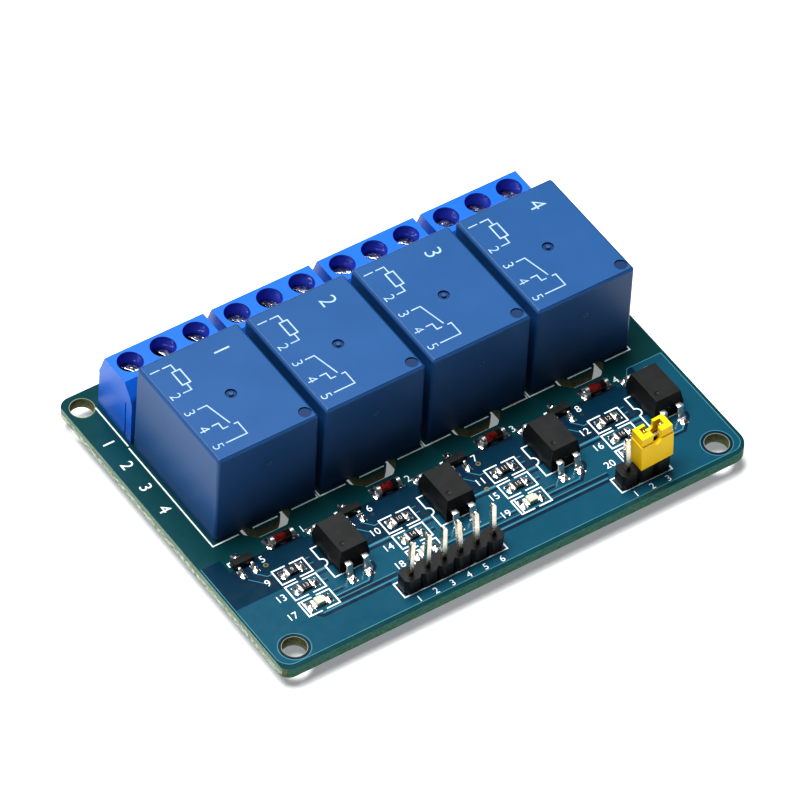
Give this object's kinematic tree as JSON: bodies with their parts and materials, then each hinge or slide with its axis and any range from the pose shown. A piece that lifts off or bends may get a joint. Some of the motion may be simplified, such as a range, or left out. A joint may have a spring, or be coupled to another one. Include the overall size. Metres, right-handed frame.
{
  "type": "relay module board",
  "caption": "Circuit board with a row of cube relays, rising-clamp screw terminals behind them, optocoupler driver groups in front, a signal header and a jumpered supply header.",
  "frame": {"origin": "midway between the two front mounting holes, on the underside of the board", "axes": "+Z out of the component side; +X along the row of relays; +Y from the pin headers to the screw terminals"},
  "size_m": [0.0724, 0.0535, 0.0185],
  "materials": {
    "laminate": "gloss",
    "relay_plastic": "satin",
    "relay_base_plastic": "matte",
    "tinned_copper": "satin",
    "terminal_plastic": "satin",
    "plated_steel": "gloss",
    "screw_steel": "gloss",
    "header_plastic": "matte",
    "flash_gold": "satin",
    "jumper_plastic": "gloss",
    "mould_compound": "satin",
    "tinned_leads": "satin",
    "diode_glass": "gloss",
    "diode_caps": "satin",
    "resistor_coat": "gloss",
    "tinned_caps": "satin",
    "led_substrate": "matte",
    "led_lens": "gloss"
  },
  "bodies": {
    "root": {"circuit_board": "laminate", "relay_cover_1": "relay_plastic", "relay_base_1": "relay_base_plastic", "relay_pins_1": "tinned_copper", "terminal_housing_1": "terminal_plastic", "terminal_cages_1": "plated_steel", "terminal_screws_1": "screw_steel", "terminal_pins_1": "tinned_copper", "optocoupler_1": "mould_compound", "optocoupler_leads_1": "tinned_leads", "relay_cover_2": "relay_plastic", "relay_base_2": "relay_base_plastic", "relay_pins_2": "tinned_copper", "terminal_housing_2": "terminal_plastic", "terminal_cages_2": "plated_steel", "terminal_screws_2": "screw_steel", "terminal_pins_2": "tinned_copper", "optocoupler_2": "mould_compound", "optocoupler_leads_2": "tinned_leads", "relay_cover_3": "relay_plastic", "relay_base_3": "relay_base_plastic", "relay_pins_3": "tinned_copper", "terminal_housing_3": "terminal_plastic", "terminal_cages_3": "plated_steel", "terminal_screws_3": "screw_steel", "terminal_pins_3": "tinned_copper", "optocoupler_3": "mould_compound", "optocoupler_leads_3": "tinned_leads", "relay_cover_4": "relay_plastic", "relay_base_4": "relay_base_plastic", "relay_pins_4": "tinned_copper", "terminal_housing_4": "terminal_plastic", "terminal_cages_4": "plated_steel", "terminal_screws_4": "screw_steel", "terminal_pins_4": "tinned_copper", "optocoupler_4": "mould_compound", "optocoupler_leads_4": "tinned_leads", "header_6_housing": "header_plastic", "header_6_pins": "flash_gold", "header_3_housing": "header_plastic", "header_3_pins": "flash_gold", "jumper_cap": "jumper_plastic", "jumper_clip": "flash_gold", "diode_glass": "diode_glass", "diode_caps": "diode_caps", "transistor_bodies": "mould_compound", "transistor_leads": "tinned_leads", "resistor_bodies": "resistor_coat", "resistor_caps": "tinned_caps", "led_bases": "led_substrate", "led_lenses": "led_lens", "led_terminals": "tinned_caps"}
  },
  "joints": []
}
